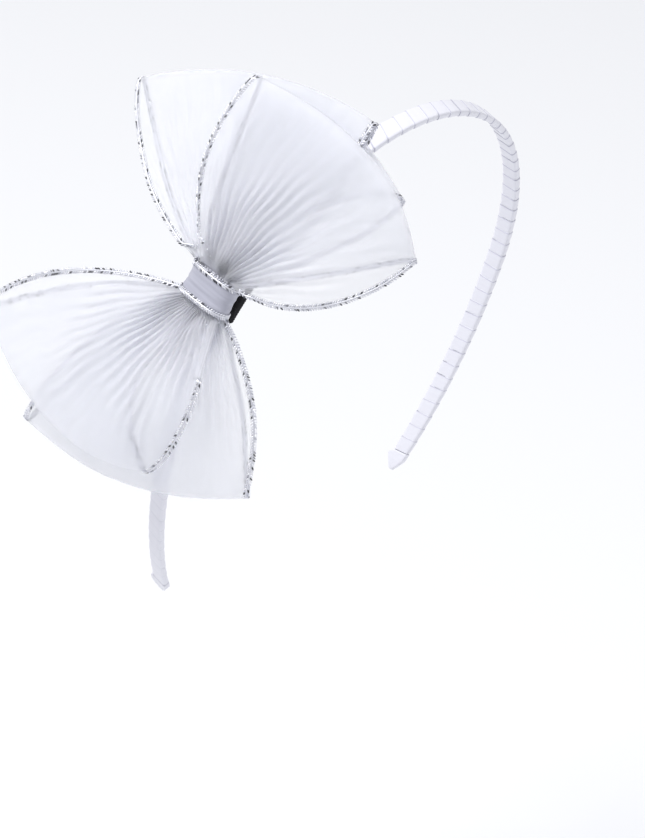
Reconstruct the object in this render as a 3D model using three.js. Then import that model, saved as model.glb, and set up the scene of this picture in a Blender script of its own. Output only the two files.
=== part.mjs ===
// Bow headband: a thin hard band wound with satin ribbon, and a sheer ribbon bow on one side.
// Millimetres. The wearer faces -Y, the crown is up, and the wearer's right is at -X.
// The origin is the inside of the crown, where the band sits on the head.
import * as THREE from "three";

// Band. It follows half an ellipse over the head and a longer ellipse down each leg.
const INNER_HALF_WIDTH = 66;
const CROWN_HEIGHT = 82; // from the widest level up to the inside of the crown
const LEG_AXIS = 121; // vertical half axis of the ellipse below the widest level
const LEG_ANGLE = 43; // degrees along that ellipse to the end of each leg
const CROWN_FORWARD_TILT = 18.5; // degrees, the crown towards the forehead
const BAND_WIDTH_CROWN = 6.2;
const BAND_WIDTH_LEG = 5.2;
const BAND_THICKNESS = 2.2;
const BAND_CORNER = 0.5;

// Satin winding. Each turn covers the edge of the one before, which leaves a low step.
const TURN_PITCH = 5;
const TURN_STEP = 0.22;
const TURN_LEAN = 0.28; // how far a turn leans along the band for each millimetre across it
const STEP_LENGTH = 0.4;
const END_LENGTH = 6.6; // the folded point of satin at the end of each leg
const END_SHOULDER = 1; // how much wider the fold is than the leg
const END_TIP_WIDTH = 1.6;
const END_TIP_THICKNESS = 1.2;

// Where the bow sits, in degrees up the ellipse from the widest level on the wearer's right
const BOW_ANGLE = 32;

// Black elastic that holds the bow on the band
const ELASTIC_LENGTH = 13.5;
const ELASTIC_WALL = 1;

// Knot ribbon, which goes round the gathered ribbon once
const KNOT_LENGTH = 6.2; // along the band
const KNOT_WIDTH = 16.8; // across the band
const KNOT_HEIGHT = 8.6;
const KNOT_WALL = 1;
const KNOT_WAIST = 0.5; // how much narrower the knot is at its middle
const KNOT_BACK_SHIFT = 2.6; // towards the back of the head
const KNOT_DOWN_SHIFT = 1.65; // down the band
const KNOT_TWIST = 4; // degrees, its front side towards the crown

// Bow ribbon
const LOOP_REACH = 50; // from the knot to the fold of a loop
const LOOP_PUFF = 10; // how far the layers rise and part
const CLOTH_WALL = 1;
const PLEATS_PER_TURN = 9; // pleats in a full turn round the knot
const PLEAT_DEPTH = 1.1;
const PLEAT_START = 9.3; // from the middle of the bow
const FOLD_ROUNDING = 0.8; // how far the roundness of a fold parts its layers, each way
const FOLD_SHARPNESS = 6.5; // a higher value parts them closer to the fold
const FOLD_FADE = 16; // a higher value ends that parting closer to the fold

// Silver stitched edges
const SILVER_WIDTH = 1.6;
const SILVER_THICKNESS = 1.3;
const SILVER_GAP = 0.42; // beside the cloth, with room for the steps of a curve

const GAP = 0.3; // between pieces that touch

// Each loop has three sections across its ribbon: the edge at the back of the head, the middle
// and the edge at the front. tip is the fold, as shares of LOOP_REACH: along the band, towards the
// back of the head, and away from the head as a share of LOOP_PUFF. arch moves both layers and
// part moves them away from each other: sideways as a share of LOOP_REACH, out as a share of
// LOOP_PUFF. Sideways is across the line from knot to fold, towards the front when positive.
// hollowStart is the share of the turn where the two layers part.
const LOOPS = [
  {
    name: "upper_under_loop", side: 1, layer: 0, layers: 3, rootWidth: 0.6, hollowStart: 0.1,
    sections: [
      { along: 0.88, back: 0.66, out: -0.7, archSide: 0, archOut: -0.1, partSide: 0, partOut: 0.16 },
      { along: 1.12, back: 0.1, out: -0.5, archSide: -0.02, archOut: -0.08, partSide: -0.05, partOut: 0.2 },
      { along: 1.01, back: -0.46, out: -0.82, archSide: -0.05, archOut: -0.17, partSide: -0.1, partOut: 0.42 },
    ],
  },
  {
    name: "upper_rear_loop", side: 1, layer: 1, layers: 3, rootWidth: 1, hollowStart: 0.105,
    sections: [
      { along: 0.59, back: 1.23, out: -0.2, archSide: -0.09, archOut: 0.1, partSide: -0.03, partOut: 0.2 },
      { along: 1.08, back: 0.55, out: 0.2, archSide: 0, archOut: 0, partSide: 0, partOut: 0.12 },
      { along: 1.26, back: -0.14, out: -0.2, archSide: 0.08, archOut: 0.06, partSide: 0, partOut: 0.17 },
    ],
  },
  {
    name: "upper_front_loop", side: 1, layer: 2, layers: 3, rootWidth: 0.7, hollowStart: 0.1,
    sections: [
      { along: 1.1, back: 0.47, out: 0.8, archSide: -0.06, archOut: 0.27, partSide: -0.04, partOut: 0.26 },
      { along: 1.17, back: -0.36, out: 0.9, archSide: 0.01, archOut: 0.4, partSide: 0.03, partOut: 0.31 },
      { along: 0.86, back: -0.86, out: 0.2, archSide: 0.1, archOut: 0.3, partSide: 0.09, partOut: 0.32 },
    ],
  },
  {
    name: "lower_rear_loop", side: -1, layer: 0, layers: 2, rootWidth: 0.85, hollowStart: 0.1,
    sections: [
      { along: 1.49, back: 0.73, out: -0.6, archSide: -0.09, archOut: -0.08, partSide: -0.03, partOut: 0.22 },
      { along: 1.34, back: -0.04, out: -0.4, archSide: 0, archOut: 0.07, partSide: 0, partOut: 0.25 },
      { along: 0.93, back: -0.7, out: -0.6, archSide: 0.06, archOut: -0.12, partSide: 0.07, partOut: 0.28 },
    ],
  },
  {
    name: "lower_front_loop", side: -1, layer: 1, layers: 2, rootWidth: 0.85, hollowStart: 0.08,
    sections: [
      { along: 1.08, back: 1.25, out: 0.4, archSide: -0.11, archOut: 0.24, partSide: -0.04, partOut: 0.34 },
      { along: 1.27, back: 0.44, out: 0.8, archSide: -0.03, archOut: 0.28, partSide: 0.1, partOut: 0.42 },
      { along: 1.14, back: -0.17, out: 0.6, archSide: -0.06, archOut: 0.32, partSide: 0.22, partOut: 0.22 },
    ],
  },
];

const radians = THREE.MathUtils.degToRad;
const lerp = THREE.MathUtils.lerp;
const vec = (x, y, z) => new THREE.Vector3(x, y, z);

const satin = { color: 0xe9e9f2, roughness: 0.35, metalness: 0 };
const organza = { color: 0xf1f2fa, roughness: 0.6, metalness: 0 };
const knotSatin = { color: 0xd9dae6, roughness: 0.45, metalness: 0 };
const silver = { color: 0xc4c6cc, roughness: 0.3, metalness: 0.8 };
const blackElastic = { color: 0x0b0b0d, roughness: 0.8, metalness: 0 };

// A closed body from triangles, turned so that its faces point out
function body(points, triangles) {
  let volume = 0;
  for (const [a, b, c] of triangles) {
    volume += points[a].dot(vec(0, 0, 0).crossVectors(points[b], points[c]));
  }
  const index = triangles.flatMap(([a, b, c]) => (volume > 0 ? [a, b, c] : [a, c, b]));
  const numbers = points.flatMap((point) => point.toArray());
  const geometry = new THREE.BufferGeometry();
  geometry.setAttribute("position", new THREE.Float32BufferAttribute(numbers, 3));
  geometry.setIndex(index);
  geometry.computeVertexNormals();
  return geometry;
}

// The two triangles of each cell between the rings that start at points a and b, which hold the
// same number of points. A cell is split along its shorter diagonal.
function skin(points, a, b, count) {
  const triangles = [];
  for (let i = 0; i < count; i++) {
    const next = (i + 1) % count;
    const [p, q, r, s] = [a + i, a + next, b + next, b + i];
    if (points[q].distanceTo(points[s]) < points[p].distanceTo(points[r])) {
      triangles.push([p, q, s], [q, r, s]);
    } else {
      triangles.push([p, q, r], [p, r, s]);
    }
  }
  return triangles;
}

// A solid bar through closed rings of points, with a flat fan at each end
function bar(rings) {
  const count = rings[0].length;
  const points = rings.flat();
  const triangles = [];
  for (let r = 0; r + 1 < rings.length; r++) {
    triangles.push(...skin(points, r * count, (r + 1) * count, count));
  }
  for (const [ring, flip] of [[0, true], [rings.length - 1, false]]) {
    const centre = rings[ring].reduce((sum, p) => sum.add(p), vec(0, 0, 0)).divideScalar(count);
    points.push(centre);
    for (let i = 0; i < count; i++) {
      const a = ring * count + i;
      const b = ring * count + ((i + 1) % count);
      triangles.push(flip ? [points.length - 1, b, a] : [points.length - 1, a, b]);
    }
  }
  return body(points, triangles);
}

// A wall between outer and inner rings, open at both ends
function sleeve(outer, inner) {
  const count = outer[0].length;
  const points = [...outer.flat(), ...inner.flat()];
  const inside = outer.length * count;
  const last = outer.length - 1;
  const triangles = [];
  for (let r = 0; r < last; r++) {
    triangles.push(...skin(points, r * count, (r + 1) * count, count));
    triangles.push(...skin(points, inside + (r + 1) * count, inside + r * count, count));
  }
  triangles.push(...skin(points, inside, 0, count));
  triangles.push(...skin(points, last * count, inside + last * count, count));
  return body(points, triangles);
}

function piece(name, geometry, finish) {
  const mesh = new THREE.Mesh(geometry, new THREE.MeshStandardMaterial(finish));
  mesh.name = name;
  return mesh;
}

// A point of the band's inner line at an angle, with the directions along and away from the head
function bandFrame(angle) {
  const height = angle < 0 || angle > Math.PI ? LEG_AXIS : CROWN_HEIGHT;
  return {
    point: vec(-INNER_HALF_WIDTH * Math.cos(angle), 0, height * Math.sin(angle) - CROWN_HEIGHT),
    along: vec(INNER_HALF_WIDTH * Math.sin(angle), 0, height * Math.cos(angle)).normalize(),
    out: vec(-Math.cos(angle) / INNER_HALF_WIDTH, 0, Math.sin(angle) / height).normalize(),
  };
}

// Length of the band's inner line from the end of the right leg, and the angle at a length
const LINE_STEPS = 720;
const lineAngle = (i) => lerp(-radians(LEG_ANGLE), Math.PI + radians(LEG_ANGLE), i / LINE_STEPS);
const lineLengths = [0];
for (let i = 1; i <= LINE_STEPS; i++) {
  const step = bandFrame(lineAngle(i)).point.distanceTo(bandFrame(lineAngle(i - 1)).point);
  lineLengths.push(lineLengths[i - 1] + step);
}
const lineLength = lineLengths[LINE_STEPS];
function angleAt(length) {
  const found = lineLengths.findIndex((l, i) => i > 0 && l >= length);
  const i = found < 0 ? LINE_STEPS : found;
  const share = (length - lineLengths[i - 1]) / (lineLengths[i] - lineLengths[i - 1]);
  return lerp(lineAngle(i - 1), lineAngle(i), share);
}
function lengthAt(angle) {
  const i = LINE_STEPS * (angle + radians(LEG_ANGLE)) / (Math.PI + 2 * radians(LEG_ANGLE));
  const low = Math.floor(i);
  return lerp(lineLengths[low], lineLengths[low + 1], i - low);
}

function bandWidth(length) {
  const fromCrown = Math.abs(2 * length / lineLength - 1);
  return lerp(BAND_WIDTH_CROWN, BAND_WIDTH_LEG, fromCrown * fromCrown);
}

// The eight corners of a bar's section, as pairs of across and out from its middle
function cornerPoints(width, thickness, corner) {
  const w = width / 2;
  const t = thickness / 2;
  return [
    [-w, -t + corner], [-w + corner, -t], [w - corner, -t], [w, -t + corner],
    [w, t - corner], [w - corner, t], [-w + corner, t], [-w, t - corner],
  ];
}

// A ring round the band at a length, which leans along the band from edge to edge
function bandRing(length, width, thickness, corner, lean) {
  return cornerPoints(width, thickness, corner).map(([across, out]) => {
    const frame = bandFrame(angleAt(length + lean * across));
    return frame.point.addScaledVector(frame.out, BAND_THICKNESS / 2 + out).add(vec(0, across, 0));
  });
}

function woundBand() {
  const start = END_LENGTH + GAP;
  const wound = lineLength - 2 * start;
  const turns = Math.round(wound / TURN_PITCH);
  const pitch = wound / turns;
  const rings = [];
  for (let turn = 0; turn < turns; turn++) {
    for (const [share, low] of [[0, 1], [STEP_LENGTH / pitch, 0]]) {
      const length = start + (turn + share) * pitch;
      const drop = 2 * TURN_STEP * (turn === 0 ? 0 : low);
      rings.push(bandRing(length, bandWidth(length) - drop, BAND_THICKNESS - drop, BAND_CORNER, TURN_LEAN));
    }
  }
  const width = bandWidth(start + wound) - 2 * TURN_STEP;
  rings.push(bandRing(start + wound, width, BAND_THICKNESS - 2 * TURN_STEP, BAND_CORNER, TURN_LEAN));
  return bar(rings);
}

// The folded point that covers the end of a leg, seated against the last turn
function ribbonEnd(farSide) {
  const rows = [
    { share: 1, wider: 0, thickness: BAND_THICKNESS, lean: TURN_LEAN },
    { share: 0.82, wider: 0.9, thickness: BAND_THICKNESS, lean: TURN_LEAN },
    { share: 0.62, wider: 1, thickness: BAND_THICKNESS, lean: 0 },
    { share: 0, wider: 0, thickness: END_TIP_THICKNESS, lean: 0 },
  ];
  const rings = rows.map((row) => {
    const width = row.share === 0 ? END_TIP_WIDTH : BAND_WIDTH_LEG + END_SHOULDER * row.wider;
    const length = farSide ? lineLength - row.share * END_LENGTH : row.share * END_LENGTH;
    const ring = bandRing(length, width, row.thickness, BAND_CORNER, row.lean);
    return ring.map((point) => point.add(vec(0, END_SHOULDER * row.wider / 2, 0)));
  });
  return bar(rings);
}

function elastic() {
  const middle = lengthAt(radians(BOW_ANGLE)) - KNOT_DOWN_SHIFT;
  const steps = 4;
  const outer = [];
  const inner = [];
  for (let i = 0; i <= steps; i++) {
    const length = middle + ELASTIC_LENGTH * (i / steps - 0.5);
    const room = 2 * GAP;
    const width = bandWidth(length) + room;
    const height = BAND_THICKNESS + room;
    inner.push(bandRing(length, width, height, BAND_CORNER, 0));
    const corner = BAND_CORNER + ELASTIC_WALL;
    outer.push(bandRing(length, width + 2 * ELASTIC_WALL, height + 2 * ELASTIC_WALL, corner, 0));
  }
  return sleeve(outer, inner);
}

// Heights above the band's outer face
const elasticTop = GAP + ELASTIC_WALL;
const knotMiddleOut = elasticTop + GAP + KNOT_HEIGHT / 2;
const knotMouth = KNOT_LENGTH / 2 + GAP + SILVER_WIDTH;
const innerKnotWidth = KNOT_WIDTH - 2 * KNOT_WALL - KNOT_WAIST;
const innerKnotHeight = KNOT_HEIGHT - 2 * KNOT_WALL - KNOT_WAIST;

// A point of the knot in its place, from the knot's own middle
function atKnot(along, back, out) {
  const point = vec(along, back, out).applyAxisAngle(vec(0, 0, 1), radians(KNOT_TWIST));
  return point.add(vec(-KNOT_DOWN_SHIFT, KNOT_BACK_SHIFT, knotMiddleOut));
}

// A rounded ring across the band, in the bow's own directions
const KNOT_SIDES = 20;
const KNOT_ROUNDNESS = 2.8; // 2 is an ellipse and more is squarer
function knotRing(along, width, height) {
  const ring = [];
  for (let i = 0; i < KNOT_SIDES; i++) {
    const angle = 2 * Math.PI * i / KNOT_SIDES;
    const c = Math.cos(angle);
    const s = Math.sin(angle);
    const back = Math.sign(c) * Math.abs(c) ** (2 / KNOT_ROUNDNESS) * width / 2;
    const out = Math.sign(s) * Math.abs(s) ** (2 / KNOT_ROUNDNESS) * height / 2;
    ring.push(atKnot(along, back, out));
  }
  return ring;
}

// The knot ribbon, or one of its silver edges, between two places along the band
function knotBand(from, to, steps) {
  const outer = [];
  const inner = [];
  for (let i = 0; i <= steps; i++) {
    const along = lerp(from, to, i / steps);
    const waist = KNOT_WAIST * (1 - Math.min(1, (2 * along / KNOT_LENGTH) ** 2));
    outer.push(knotRing(along, KNOT_WIDTH - waist, KNOT_HEIGHT - waist));
    inner.push(knotRing(along, KNOT_WIDTH - waist - 2 * KNOT_WALL, KNOT_HEIGHT - waist - 2 * KNOT_WALL));
  }
  return sleeve(outer, inner);
}

// The middle of the bow's ribbon, gathered tight inside the knot
function gatheredMiddle() {
  const width = innerKnotWidth - 2 * GAP;
  const height = innerKnotHeight - 2 * GAP;
  return bar([knotRing(-knotMouth, width, height), knotRing(knotMouth, width, height)]);
}

// A value of a loop's sections at a share of the way from its back edge to its front edge
function acrossLoop(loop, column, share) {
  const [rear, middle, front] = loop.sections.map((section) => section[column]);
  const middlePart = 4 * share * (1 - share) * middle;
  return rear * (1 - share) * (1 - 2 * share) + middlePart + front * share * (2 * share - 1);
}

// The layers of the bow lie on each other in the knot's mouth, with a gap round each
const MOST_LAYERS = 3;
const rootThickness = (innerKnotHeight - (MOST_LAYERS + 1) * GAP) / MOST_LAYERS;
const rootOut = (loop) => (loop.layer - (loop.layers - 1) / 2) * (rootThickness + GAP);

// Pleats spread out from the knot like the ribs of a fan, and fade towards the fold
function pleat(along, back) {
  const reach = Math.max(0, Math.hypot(along, back) - PLEAT_START) / LOOP_REACH;
  const angle = Math.atan2(back, Math.abs(along));
  const fade = reach > 1 ? 0 : Math.sin(Math.PI * Math.sqrt(reach)) ** 2 * (1 - reach);
  return PLEAT_DEPTH * fade * Math.cos(PLEATS_PER_TURN * angle);
}

// How far a layer lies from the middle of its loop, as a share of its most: 0 at the knot and at
// the fold, and negative on the layer next to the head. A higher fold power keeps the edges
// together for longer beside the fold.
const PARTING_OUT = { foldPower: 1, most: 0.385 };
const PARTING_SIDEWAYS = { foldPower: 1.5, most: 0.303 };
function parting(form, turn) {
  const towardsFold = Math.cos(Math.PI * turn);
  const rise = Math.sin(Math.PI * turn) ** 2 * Math.abs(towardsFold) ** form.foldPower;
  return Math.sign(towardsFold) * rise / form.most;
}

// A point of a loop's cloth. turn goes from 0 at the knot, through 0.5 at the fold, back to 1.
function loopPoint(loop, turn, share) {
  const value = (column) => acrossLoop(loop, column, share);
  const reach = (1 - Math.cos(2 * Math.PI * turn)) / 2;
  const layerSide = turn < 0.5 ? 1 : -1;
  const rootBack = lerp(0.5, -0.5, share) * loop.rootWidth * innerKnotWidth;
  const root = atKnot(loop.side * (knotMouth + GAP), rootBack, rootOut(loop));
  const tip = vec(loop.side * value("along"), value("back"), value("out"));
  tip.multiply(vec(LOOP_REACH, LOOP_REACH, LOOP_PUFF));
  const line = vec(tip.x - root.x, tip.y - root.y, 0).normalize();
  const sideways = vec(line.y, -line.x, 0).multiplyScalar(loop.side);
  const arch = 4 * reach * (1 - reach);
  const partOut = parting(PARTING_OUT, turn);
  const partSide = parting(PARTING_SIDEWAYS, turn);
  const point = root.lerp(tip, reach);
  point.addScaledVector(sideways, LOOP_REACH * (value("archSide") * arch + value("partSide") * partSide));
  point.z += LOOP_PUFF * (value("archOut") * arch + value("partOut") * partOut);
  point.z += layerSide * (1 - reach) * (rootThickness - CLOTH_WALL) / 2;
  const fromFold = Math.tanh(FOLD_SHARPNESS * Math.abs(Math.cos(Math.PI * turn)));
  point.z += layerSide * reach ** FOLD_FADE * FOLD_ROUNDING * fromFold;
  point.z += pleat(point.x, point.y);
  return point;
}

// The directions out of a loop's cloth, and in the cloth towards its front edge, square to its path
function loopDirections(loop, turn, share) {
  const step = 0.004;
  const across = loopPoint(loop, turn, share + step).sub(loopPoint(loop, turn, share - step));
  const path = loopPoint(loop, turn + step, share).sub(loopPoint(loop, turn - step, share)).normalize();
  const out = vec(0, 0, 0).crossVectors(across, path).multiplyScalar(loop.side).normalize();
  const front = vec(0, 0, 0).crossVectors(path, out).multiplyScalar(loop.side);
  return { front, out };
}

const CLOTH_POINTS = 22; // round a loop, from its root to its fold and back
const CLOTH_SECTIONS = 13; // across a loop
const CLOTH_START = 0.03; // share of the turn where the cloth leaves the knot's mouth

// The share of the turn at each point of a line round the loop
const turnAt = (i) => lerp(CLOTH_START, 1 - CLOTH_START, i / (CLOTH_POINTS - 1));
const CATCH_UP = 5; // an odd power, so that both layers start later

// One face of the cloth, at an offset from its middle. It starts later than the cloth by a share of
// the turn, and catches up with it towards the fold.
function clothLine(loop, share, later, offset) {
  const line = [];
  for (let i = 0; i < CLOTH_POINTS; i++) {
    const turn = turnAt(i) + later * Math.cos(Math.PI * turnAt(i)) ** CATCH_UP;
    const { out } = loopDirections(loop, turn, share);
    line.push(loopPoint(loop, turn, share).addScaledVector(out, offset));
  }
  return line;
}

function loopCloth(loop) {
  const outer = [];
  const inner = [];
  for (let i = 0; i <= CLOTH_SECTIONS; i++) {
    const share = i / CLOTH_SECTIONS;
    outer.push(clothLine(loop, share, 0, CLOTH_WALL / 2));
    inner.push(clothLine(loop, share, loop.hollowStart - CLOTH_START, -CLOTH_WALL / 2));
  }
  return sleeve(outer, inner);
}

const SILVER_SKIPS = 2; // points at each end that stay bare, where the layers crowd together

// The stitched edge runs beside the cloth, point by point, and stops short of the knot
function silverEdge(loop, share) {
  const away = share === 0 ? -1 : 1;
  const rings = [];
  for (let i = SILVER_SKIPS; i < CLOTH_POINTS - SILVER_SKIPS; i++) {
    const turn = turnAt(i);
    const { front, out } = loopDirections(loop, turn, share);
    const middle = loopPoint(loop, turn, share);
    middle.addScaledVector(front, away * (SILVER_GAP + SILVER_WIDTH / 2));
    const corners = [[-1, -1], [1, -1], [1, 1], [-1, 1]];
    rings.push(corners.map(([w, t]) => middle.clone()
      .addScaledVector(front, w * SILVER_WIDTH / 2)
      .addScaledVector(out, t * SILVER_THICKNESS / 2)));
  }
  return bar(rings);
}

const headband = new THREE.Group();
headband.rotation.x = radians(CROWN_FORWARD_TILT);
headband.add(piece("wound_band", woundBand(), satin));
headband.add(piece("ribbon_end_right", ribbonEnd(false), satin));
headband.add(piece("ribbon_end_left", ribbonEnd(true), satin));
headband.add(piece("black_elastic", elastic(), blackElastic));

// The bow's own directions: x along the band to the crown, y to the back, z away from the head
const seat = bandFrame(radians(BOW_ANGLE));
const bow = new THREE.Group();
bow.setRotationFromMatrix(new THREE.Matrix4().makeBasis(seat.along, vec(0, 1, 0), seat.out));
bow.position.copy(seat.point).addScaledVector(seat.out, BAND_THICKNESS);
headband.add(bow);

const knotHalf = KNOT_LENGTH / 2;
bow.add(piece("knot_ribbon", knotBand(-knotHalf, knotHalf, 4), knotSatin));
bow.add(piece("gathered_middle", gatheredMiddle(), organza));
bow.add(piece("silver_knot_edge_upper", knotBand(knotHalf + GAP, knotMouth, 1), silver));
bow.add(piece("silver_knot_edge_lower", knotBand(-knotMouth, -knotHalf - GAP, 1), silver));
for (const loop of LOOPS) {
  bow.add(piece(loop.name, loopCloth(loop), organza));
  bow.add(piece(`silver_${loop.name}_back`, silverEdge(loop, 0), silver));
  bow.add(piece(`silver_${loop.name}_front`, silverEdge(loop, 1), silver));
}

const model = new THREE.Group();
model.add(headband);

export default model;
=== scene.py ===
# Bow headband: a thin hard band wound with white satin ribbon. On its right side a knot and a
# black elastic sleeve hold a bow of sheer white ribbon with silver stitched edges.
# Metres. The wearer faces -Y, and the origin is the inside of the band at the crown.
import math

import bpy
import numpy as np
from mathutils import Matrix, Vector


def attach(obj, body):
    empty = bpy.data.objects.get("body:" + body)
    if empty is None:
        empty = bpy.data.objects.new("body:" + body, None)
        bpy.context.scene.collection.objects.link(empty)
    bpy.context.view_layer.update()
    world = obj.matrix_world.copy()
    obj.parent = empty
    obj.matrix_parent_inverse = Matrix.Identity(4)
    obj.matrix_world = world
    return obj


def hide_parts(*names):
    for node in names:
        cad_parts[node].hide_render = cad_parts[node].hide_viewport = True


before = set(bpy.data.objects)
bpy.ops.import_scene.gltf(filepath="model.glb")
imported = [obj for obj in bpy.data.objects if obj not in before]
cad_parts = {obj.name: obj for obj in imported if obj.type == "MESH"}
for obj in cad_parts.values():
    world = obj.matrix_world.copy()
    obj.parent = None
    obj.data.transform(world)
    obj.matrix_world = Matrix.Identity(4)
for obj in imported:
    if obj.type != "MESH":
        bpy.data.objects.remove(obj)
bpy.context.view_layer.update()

# Wound band
# A thin hard core, a little wider at the crown, wound with white satin ribbon. Each turn covers
# the edge of the one before, so the ribbon's edges show as low steps that lean across the band.
INNER_HALF_WIDTH = 0.066
CROWN_HEIGHT = 0.082
LEG_AXIS = 0.121
LEG_ANGLE = math.radians(43)
CROWN_FORWARD_TILT = math.radians(18.5)
BAND_WIDTH_CROWN = 0.0062
BAND_WIDTH_LEG = 0.0052
BAND_THICKNESS = 0.0022
BAND_CORNER = 0.0007
TURN_PITCH = 0.005
TURN_STEP = 0.00012
TURN_LEAN = 0.28
TURN_WANDER = 0.00016
LEAN_WANDER = 0.05
END_LENGTH = 0.0066
GAP = 0.0003
SATIN_COLOUR = (0.80, 0.80, 0.86, 1)
SATIN_SHADOW = (0.66, 0.66, 0.75, 1)
# Painted shade at the foot of each turn's step: its colour, and how far and how strongly it darkens
SATIN_STEP_SHADE = (0.42, 0.42, 0.52, 1)
TURN_SHADE = 0.00045
TURN_SHADE_STRENGTH = 0.8
SATIN_WARP = 6000  # threads per metre
SATIN_WEFT = 1200
SATIN_SOFTNESS = 0.82
RUN_ROUND_BAND = 0.016
CORNER_STEPS = 4
FLAT_SHARES = (0.6, 0.2, -0.2, -0.6)
LINE_STEPS = 720
WINDING_SEED = 7
# Share of a turn's width, and how proud the ribbon is there as a share of the step
TURN_PROFILE = [
    (0.0, 0.0), (0.012, 0.6), (0.03, 0.95), (0.06, 1.0), (0.2, 0.95),
    (0.45, 0.72), (0.7, 0.38), (0.9, 0.1), (0.98, 0.0),
]


def unit(vectors):
    """The vectors at length one."""
    return vectors / np.linalg.norm(vectors, axis=-1, keepdims=True)


def band_frame(angle):
    """Points of the band's inner line at angles, the directions along it and away from the head."""
    height = np.where((angle < 0) | (angle > math.pi), LEG_AXIS, CROWN_HEIGHT)
    zero = np.zeros_like(angle)
    x, z = -INNER_HALF_WIDTH * np.cos(angle), height * np.sin(angle)
    point = np.stack([x, zero, z - CROWN_HEIGHT], -1)
    along = unit(np.stack([INNER_HALF_WIDTH * np.sin(angle), zero, height * np.cos(angle)], -1))
    out = unit(np.stack([x / INNER_HALF_WIDTH**2, zero, z / height**2], -1))
    return point, along, out


def worn(points):
    """Points of the upright band as it is worn, with the crown forward."""
    c, s = math.cos(CROWN_FORWARD_TILT), math.sin(CROWN_FORWARD_TILT)
    return points @ np.array([[1, 0, 0], [0, c, s], [0, -s, c]])


line_angles = np.linspace(-LEG_ANGLE, math.pi + LEG_ANGLE, LINE_STEPS + 1)
line_steps = np.linalg.norm(np.diff(band_frame(line_angles)[0], axis=0), axis=1)
line_lengths = np.concatenate([[0], np.cumsum(line_steps)])
LINE_LENGTH = line_lengths[-1]


def band_width(length):
    """The band's width at a length from the end of the right leg."""
    from_crown = np.abs(2 * length / LINE_LENGTH - 1)
    return BAND_WIDTH_CROWN + (BAND_WIDTH_LEG - BAND_WIDTH_CROWN) * from_crown**2


def rounded_section(width, thickness, corner):
    """A rounded rectangle's outline, for each width and thickness, as across and out."""
    across, out = [], []
    corners = ((1, 1), (-1, 1), (-1, -1), (1, -1))
    for quarter, (a, o) in enumerate(corners):
        for step in range(CORNER_STEPS + 1):
            turn = (quarter + step / CORNER_STEPS) * math.pi / 2
            across.append(a * (width / 2 - corner) + corner * math.cos(turn))
            out.append(o * (thickness / 2 - corner) + corner * math.sin(turn))
        if o == corners[(quarter + 1) % 4][1]:
            for share in FLAT_SHARES:
                across.append(share * a * (width / 2 - corner))
                out.append(o * thickness / 2 + 0 * width)
    return np.stack(across, -1), np.stack(out, -1)


def round_band(length, across, out, lean):
    """Rings round the band as it is worn, at lengths along it, through their sections' points."""
    angles = np.interp(length[:, None] + lean[:, None] * across, line_lengths, line_angles)
    point, _, away = band_frame(angles)
    ring = point + away * (BAND_THICKNESS / 2 + out)[..., None]
    ring[..., 1] += across
    return worn(ring)


def grid_faces(rows, columns, start=0, flip=False, closed=False):
    """The faces of a grid of vertices, row by row. A closed grid joins its last column to its first."""
    faces = []
    for r in range(rows - 1):
        for c in range(columns if closed else columns - 1):
            n = (c + 1) % columns
            a, b = start + r * columns + c, start + r * columns + n
            face = (a, b, b + columns, a + columns)
            faces.append(face[::-1] if flip else face)
    return faces


def make_piece(name, vertices, faces, material, attributes):
    """A smooth mesh object with vector attributes for its material."""
    mesh = bpy.data.meshes.new(name)
    mesh.from_pydata(np.asarray(vertices).reshape(-1, 3).tolist(), [], faces)
    for key, values in attributes.items():
        attribute = mesh.attributes.new(key, "FLOAT_VECTOR", "POINT")
        attribute.data.foreach_set("vector", np.asarray(values, np.float32).ravel())
    mesh.polygons.foreach_set("use_smooth", [True] * len(mesh.polygons))
    mesh.materials.append(material)
    mesh.update()
    piece = bpy.data.objects.new(name, mesh)
    bpy.context.scene.collection.objects.link(piece)
    return piece


def bar_faces(rings, count):
    """The skin of a bar through closed rings, with one flat face at each end."""
    first = tuple(range(count))
    last = tuple((rings - 1) * count + i for i in reversed(range(count)))
    return grid_faces(rings, count, flip=True, closed=True) + [first, last]


def facing_out(piece):
    """Turns a closed piece's faces so that they point out."""
    mesh = piece.data
    mesh.calc_loop_triangles()
    points = np.array([v.co for v in mesh.vertices])
    a, b, c = (points[[t.vertices[i] for t in mesh.loop_triangles]] for i in range(3))
    if (a * np.cross(b, c)).sum() < 0:
        mesh.flip_normals()
    return piece


def new_material(name, settings):
    """A material, its node tree and its shader, whose constant values come from settings."""
    material = bpy.data.materials.new(name)
    material.use_nodes = True
    shader = material.node_tree.nodes["Principled BSDF"]
    for socket, value in settings.items():
        shader.inputs[socket].default_value = value
    return material, material.node_tree, shader


def node(tree, kind, inputs=None, **settings):
    """A new node, with its settings, and its inputs linked or set."""
    made = tree.nodes.new(kind)
    for key, value in settings.items():
        setattr(made, key, value)
    for key, value in (inputs or {}).items():
        if isinstance(value, bpy.types.NodeSocket):
            tree.links.new(value, made.inputs[key])
        else:
            made.inputs[key].default_value = value
    return made


def new_group(name, kind, inputs, outputs):
    """A node group with named sockets, and its two end nodes."""
    group = bpy.data.node_groups.new(name, kind)
    for socket, socket_type in inputs:
        group.interface.new_socket(socket, in_out="INPUT", socket_type=socket_type)
    for socket, socket_type in outputs:
        group.interface.new_socket(socket, in_out="OUTPUT", socket_type=socket_type)
    return group, group.nodes.new("NodeGroupInput"), group.nodes.new("NodeGroupOutput")


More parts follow.
